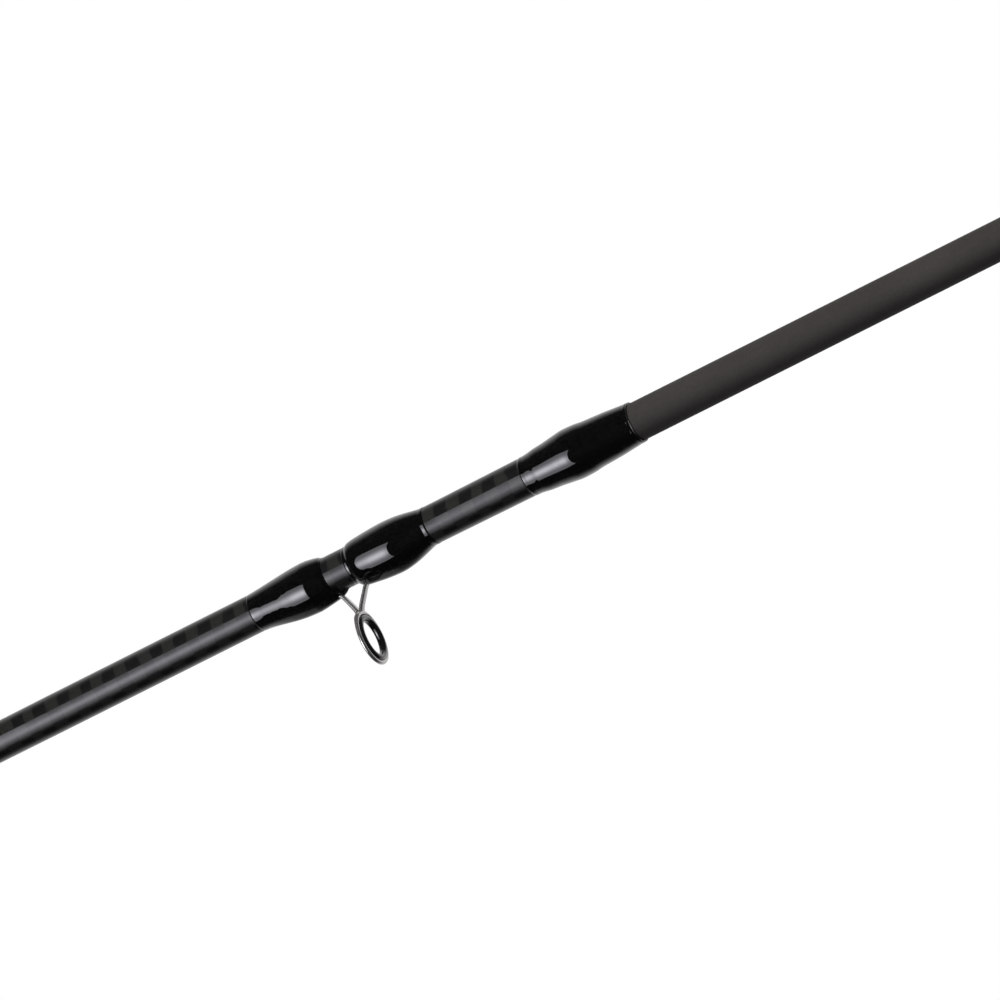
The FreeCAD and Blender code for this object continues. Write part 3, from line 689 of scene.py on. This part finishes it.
def guide_frame(number):
    """Hoop, legs and feet of one guide, fused into one stamped and polished frame."""
    name = f"guide_{number}"
    centre, station, _, seat_r, _ = ring_sizes(name + "_ring")
    hoop_r = -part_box(name + "_frame")[0][1] / MM + centre
    spans = islands(name + "_epoxy")
    scale = (spans[0][1] - spans[0][0]) / (COAT_SPAN * MM)
    hoop_half = HOOP_SLENDERNESS * hoop_r
    hoop_low = Vector((0, centre + hoop_r, station))
    two_foot = number == 3
    width = 1.5 * scale
    legs = []
    shoulder = (0.42 * scale, 0.2 * scale) if two_foot else (0.1 * scale, 0.0)
    inside = seat_r - 0.05 * scale
    shells = [hoop("hoop", centre, station, inside, hoop_r, hoop_half, 2.2, 160, 20, shoulder)]
    for low, high in spans:
        butt_side = (low + high) / 2 < station * MM
        away = -1 if butt_side else 1
        far, near = ((low, high) if butt_side else (high, low))
        root_z = near / MM + away * ROOT_INSIDE * scale
        end_z = far / MM - away * 1.2 * scale
        foot_end = Vector((0, -blank_radius(end_z * MM) / MM - 0.1 * scale, end_z))
        root = Vector((0, -blank_radius(root_z * MM) / MM - 0.25 * scale, root_z))
        forked = not two_foot and (number > 3 or not butt_side)
        if not forked:
            corners = [foot_end, root]
            if two_foot:
                top_z = -0.2 if butt_side else 0.62
                corners.append(hoop_low + Vector((0, 0.45 * scale, top_z * scale)))
                corners.append(hoop_low + Vector((0, -0.35 * scale, 0.8 * top_z * scale)))
            else:
                corners.append(hoop_low + Vector((0, -0.1 * scale, 0)))
            legs.append((corners, Vector((1, 0, 0))))
            continue
        middle_r = (hoop_r + seat_r) / 2
        spread_x = middle_r * math.sin(LEG_SPREAD)
        top_y = centre + middle_r * math.cos(LEG_SPREAD)
        for sign in (-1, 1):
            top = Vector((sign * spread_x, top_y, station))
            start = foot_end + Vector((sign * 0.2 * width, 0, 0))
            fork = root + Vector((sign * 0.22 * width, 0, 0))
            legs.append(([start, fork, top], Vector((1, 0, 0))))
    shells += leg_shells(legs, scale, width if two_foot else width * 0.8, 0.25 if two_foot else 0.0)
    voxel = 0.065 * max(scale, 0.85) * (2.2 if hoop_r > 9 else 1.0)
    mesh = fused(name + "_stamping", shells, voxel, 4)
    piece_from(mesh, name + "_stamping", name + "_frame")


def guide_insert(name, node):
    """The polished ceramic ring, with a rounded running surface for the line."""
    centre, station, opening_r, seat_r, half = [value * MM for value in ring_sizes(node)]
    mesh = hoop(name, centre, station, opening_r, seat_r, half, 2.3, 192, 28)
    piece_from(mesh, name, node)


for number in range(1, 9):
    guide_frame(number)
    guide_insert(f"guide_{number}_insert", f"guide_{number}_ring")
guide_insert("tip_top_insert", "tip_top_ring")


# ------------------------------------------------------------------ handle and reel seat

def lathe(name, node, shape_at, steps, around=96):
    """A turned piece on the blank: shape_at(height share, angle) adds detail to the CAD outline."""
    outline = outline_of(node)
    low, high = outline[0][0], outline[-1][0]
    outer = []
    inner = []
    for i in range(steps + 1):
        share = i / steps
        z = low + share * (high - low)
        outer_row = []
        inner_row = []
        for k in range(around):
            angle = 2 * math.pi * k / around
            radius = smooth_through(outline, z) + shape_at(share, angle)
            outer_row.append((radius * math.cos(angle), radius * math.sin(angle), z))
            bore = blank_radius(z) * 0.995
            inner_row.append((bore * math.cos(angle), bore * math.sin(angle), z))
        outer.append(outer_row)
        inner.append(inner_row)
    piece_from(loops_mesh(name, outer + inner[::-1], closed=True), name, node)


def round_row(radius, z, around):
    """A level loop of points round the rod's axis."""
    angles = [2 * math.pi * k / around for k in range(around)]
    return [(radius * math.cos(angle), radius * math.sin(angle), z) for angle in angles]


def rounded_ends(share, length, radius):
    """How far an edge of that radius has dropped at a share of the length."""
    gap = min(share, 1 - share) * length
    if gap >= radius:
        return 0.0
    return -(radius - math.sqrt(max(radius * radius - (radius - gap) ** 2, 0.0)))


def grooves(share, centres, length, width, depth):
    """Turned grooves round a piece, at the given shares of its length."""
    return -sum(depth * math.exp(-((share - c) * length / width) ** 2) for c in centres)


def grip(name, node, groove_shares):
    """A shaped foam grip: sanded by hand, with a few turned grooves."""
    low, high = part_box(node)
    length = high[2] - low[2]

    def shape_at(share, angle):
        sanding = 0.05 * MM * math.sin(31 * share + 2 * math.sin(angle * 2 + 5 * share))
        turned = grooves(share, groove_shares, length, 0.55 * MM, 0.7 * MM)
        return rounded_ends(share, length, 0.8 * MM) + sanding + turned

    lathe(name, node, shape_at, steps=round(length / (0.35 * MM)))


def trim(name, node, groove_shares):
    """A turned metal ring with rounded rims and fine grooves."""
    low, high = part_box(node)
    length = high[2] - low[2]

    def shape_at(share, angle):
        turned = grooves(share, groove_shares, length, 0.16 * MM, 0.22 * MM)
        return rounded_ends(share, length, 0.3 * MM) + turned

    lathe(name, node, shape_at, steps=72, around=160)


def cap_mesh():
    """Moulded rubber end cap: ribbed wall, rounded rim and a shallow dished base."""
    outline = outline_of("butt_cap")
    top = outline[-1][0]
    rim_r = outline[0][1]
    wall_steps, ribs, around = 56, 40, 240
    rib_depth, dish_depth, bore_depth = 0.28 * MM, 0.8 * MM, 10 * MM
    rows = []
    for share in (0.02, 0.35, 0.7, 0.92):
        dish = dish_depth * (1 - smooth_step((share - 0.5) / 0.45))
        rows.append(round_row(rim_r * share, dish, around))
    for i in range(wall_steps + 1):
        share = i / wall_steps
        z = share * top
        row = []
        for k in range(around):
            angle = 2 * math.pi * k / around
            rib = rib_depth * (0.5 + 0.5 * math.cos(ribs * angle)) ** 2
            rib *= smooth_step((share - 0.22) / 0.12) * smooth_step((0.88 - share) / 0.1)
            radius = smooth_through(outline, z) - rib_depth + rib
            row.append((radius * math.cos(angle), radius * math.sin(angle), z))
        rows.append(row)
    for share in (0.98, 0.62):
        radius = blank_radius(top) + (rim_r - blank_radius(top)) * (share - 0.62) / 0.4
        rows.append(round_row(radius, top, around))
    rows.append([(x, y, top - bore_depth) for x, y, z in rows[-1]])
    return loops_mesh("butt_cap_moulding", rows, closed=False)


def rounded_copy(name, node, radius, segments=3):
    """The CAD part with its sharp edges rounded, as moulding or tumbling leaves them."""
    work = bmesh.new()
    work.from_mesh(NODES[node].data)
    bmesh.ops.remove_doubles(work, verts=work.verts, dist=1e-6)
    bmesh.ops.dissolve_limit(work, angle_limit=math.radians(0.6), verts=work.verts, edges=work.edges)
    mesh = bpy.data.meshes.new(name)
    work.to_mesh(mesh)
    work.free()
    piece = piece_from(mesh, name, node)
    bevel = piece.modifiers.new("rounded", "BEVEL")
    bevel.width = radius
    bevel.segments = segments
    bevel.limit_method = "ANGLE"
    bevel.angle_limit = math.radians(28)
    bevel.harden_normals = True
    bevel.use_clamp_overlap = True
    return piece


piece_from(cap_mesh(), "butt_cap_moulding", "butt_cap")
grip("rear_grip_foam", "rear_grip", (0.86, 0.9, 0.94))
grip("mid_grip_foam", "mid_grip", (0.1, 0.16))
grip("fore_grip_foam", "fore_grip", (0.82, 0.9))
trim("butt_trim_turning", "butt_trim_ring", (0.3, 0.7))
trim("rear_check_turning", "rear_grip_check", (0.35,))
trim("mid_check_turning", "mid_grip_check", (0.65,))
trim("winding_check_turning", "winding_check", (0.12, 0.32))
rounded_copy("seat_moulding", "reel_seat", 0.25 * MM)
rounded_copy("hood_pressing", "sliding_hood", 0.3 * MM)
rounded_copy("nut_moulding", "hood_nut", 0.2 * MM)


# ------------------------------------------------------------------ camera and light

def facing(azimuth, elevation):
    """Unit vector from the rod towards a place at that azimuth (0 at -Y) and elevation."""
    return Vector((
        math.sin(azimuth) * math.cos(elevation),
        -math.cos(azimuth) * math.cos(elevation),
        math.sin(elevation),
    ))


BACK = facing(VIEW_AZIMUTH, VIEW_ELEVATION)
BUTTWARD = (Vector((0, 0, -1)) - BACK * BACK.dot(Vector((0, 0, -1)))).normalized()
BESIDE = BACK.cross(BUTTWARD)
RIGHT = BUTTWARD * math.cos(ROD_SLOPE) - BESIDE * math.sin(ROD_SLOPE)
UP = BUTTWARD * math.sin(ROD_SLOPE) + BESIDE * math.cos(ROD_SLOPE)
AIM = Vector((0, 0, MOUTH_Z + AIM_ABOVE_MOUTH)) - BESIDE * AIM_BESIDE_AXIS


def place_camera():
    data = bpy.data.cameras.new("camera")
    data.lens = LENS_MM
    data.sensor_width = SENSOR_MM
    data.clip_start = 0.05
    data.clip_end = 50.0
    camera = bpy.data.objects.new("camera", data)
    distance = LENS_MM / SENSOR_MM * FIELD_WIDTH
    location = AIM + BACK * distance
    turn = Matrix((RIGHT, UP, BACK)).transposed().to_4x4()
    camera.matrix_world = Matrix.Translation(location) @ turn
    bpy.context.scene.collection.objects.link(camera)
    bpy.context.scene.camera = camera


def bell(tree, core):
    """Emission strength over a softbox: 1 at its edge and core more at its middle, in a smooth bell."""
    def maths(operation, *values):
        node = tree.nodes.new("ShaderNodeMath")
        node.operation = operation
        for value, socket in zip(values, node.inputs):
            if hasattr(value, "is_linked"):
                tree.links.new(value, socket)
            else:
                socket.default_value = value
        return node.outputs[0]

    place = tree.nodes.new("ShaderNodeNewGeometry")
    split = tree.nodes.new("ShaderNodeSeparateXYZ")
    tree.links.new(place.outputs["Parametric"], split.inputs[0])
    falloff = []
    for output, sharpness in zip(split.outputs, (6.6, 0.9)):
        offset = maths("SUBTRACT", output, 0.5)
        falloff.append(maths("MULTIPLY", maths("MULTIPLY", offset, offset), -sharpness * 4))
    return maths("MULTIPLY_ADD", maths("EXPONENT", maths("ADD", *falloff)), core, 1.0)


def softbox(name, direction, distance, width, height, power,
            colour=(1, 1, 1), seen_by="both", core=0.0, drop=0.0):
    """A rectangular area light that faces the stretch by the ferrule, or a place drop below it."""
    data = bpy.data.lights.new(name, "AREA")
    data.shape = "RECTANGLE"
    data.size = width
    data.size_y = height
    data.energy = power
    data.color = colour
    if core:
        data.use_nodes = True
        tree = data.node_tree
        tree.links.new(bell(tree, core), tree.nodes["Emission"].inputs["Strength"])
    light = bpy.data.objects.new(name, data)
    light.visible_glossy = seen_by != "matte"
    light.visible_diffuse = seen_by != "gloss"
    back = direction.normalized()
    side = Vector((0, 0, 1)).cross(back).normalized()
    up = back.cross(side)
    place = AIM - Vector((0, 0, drop)) + back * distance
    turn = Matrix((side, up, back)).transposed().to_4x4()
    light.matrix_world = Matrix.Translation(place) @ turn
    bpy.context.scene.collection.objects.link(light)


def floor():
    """A pale round floor that brightens into the white backdrop and sheds no light on the rod."""
    reach, pale, near, far = 60.0, 0.42, 0.4, 5.0
    mesh = bpy.data.meshes.new("floor")
    corners = round_row(reach, 0, 96)
    mesh.from_pydata(corners, [], [tuple(range(len(corners)))])
    piece = bpy.data.objects.new("floor", mesh)
    material = bpy.data.materials.new("floor")
    material.use_nodes = True
    tree = material.node_tree
    shader = tree.nodes["Principled BSDF"]
    shader.inputs["Base Color"].default_value = (0.8, 0.8, 0.8, 1)
    shader.inputs["Roughness"].default_value = 0.8
    shader.inputs["Emission Color"].default_value = (1, 1, 1, 1)
    place = tree.nodes.new("ShaderNodeTexCoord")
    distance = tree.nodes.new("ShaderNodeVectorMath")
    distance.operation = "LENGTH"
    tree.links.new(place.outputs["Object"], distance.inputs[0])
    glow = tree.nodes.new("ShaderNodeMapRange")
    glow.inputs["From Min"].default_value = near
    glow.inputs["From Max"].default_value = far
    glow.inputs["To Min"].default_value = pale
    glow.inputs["To Max"].default_value = 1.0
    tree.links.new(distance.outputs["Value"], glow.inputs["Value"])
    tree.links.new(glow.outputs["Result"], shader.inputs["Emission Strength"])
    mesh.materials.append(material)
    bpy.context.scene.collection.objects.link(piece)
    piece.visible_glossy = False
    piece.visible_diffuse = False


def world():
    """White to the camera, bright behind the rod and dim on the camera's side for everything else."""
    studio = bpy.data.worlds.new("studio")
    studio.use_nodes = True
    tree = studio.node_tree
    background = tree.nodes["Background"]
    place = tree.nodes.new("ShaderNodeTexCoord")
    dot = tree.nodes.new("ShaderNodeVectorMath")
    dot.operation = "DOT_PRODUCT"
    dot.inputs[1].default_value = -BACK
    tree.links.new(place.outputs["Generated"], dot.inputs[0])
    ramp = tree.nodes.new("ShaderNodeMapRange")
    ramp.inputs["From Min"].default_value = 0.25
    ramp.inputs["From Max"].default_value = 0.7
    ramp.inputs["To Min"].default_value = 0.01
    ramp.inputs["To Max"].default_value = 1.0
    tree.links.new(dot.outputs["Value"], ramp.inputs["Value"])
    path = tree.nodes.new("ShaderNodeLightPath")
    mix = tree.nodes.new("ShaderNodeMix")
    tree.links.new(path.outputs["Is Camera Ray"], mix.inputs["Factor"])
    tree.links.new(ramp.outputs["Result"], mix.inputs["A"])
    mix.inputs["B"].default_value = 1.0
    tree.links.new(mix.outputs["Result"], background.inputs["Color"])
    bpy.context.scene.world = studio


place_camera()
floor()
world()
KEY_SIDE = facing(math.radians(67), math.radians(30))
LAVENDER = (0.93, 0.92, 1.0)
softbox("key", KEY_SIDE, 0.55, 0.69, 0.24, 1.25, LAVENDER, seen_by="gloss", core=4.4)
softbox("top", BESIDE * 0.82 + BACK * 0.57, 0.8, 0.6, 0.8, 8.6, seen_by="matte")
softbox("fill", BACK, 1.0, 0.8, 0.8, 1.3, seen_by="matte")
softbox("handle", facing(VIEW_AZIMUTH, 0.0), 1.1, 0.5, 0.9, 6.0, seen_by="matte", drop=0.72)
bpy.context.scene.view_settings.view_transform = "Standard"
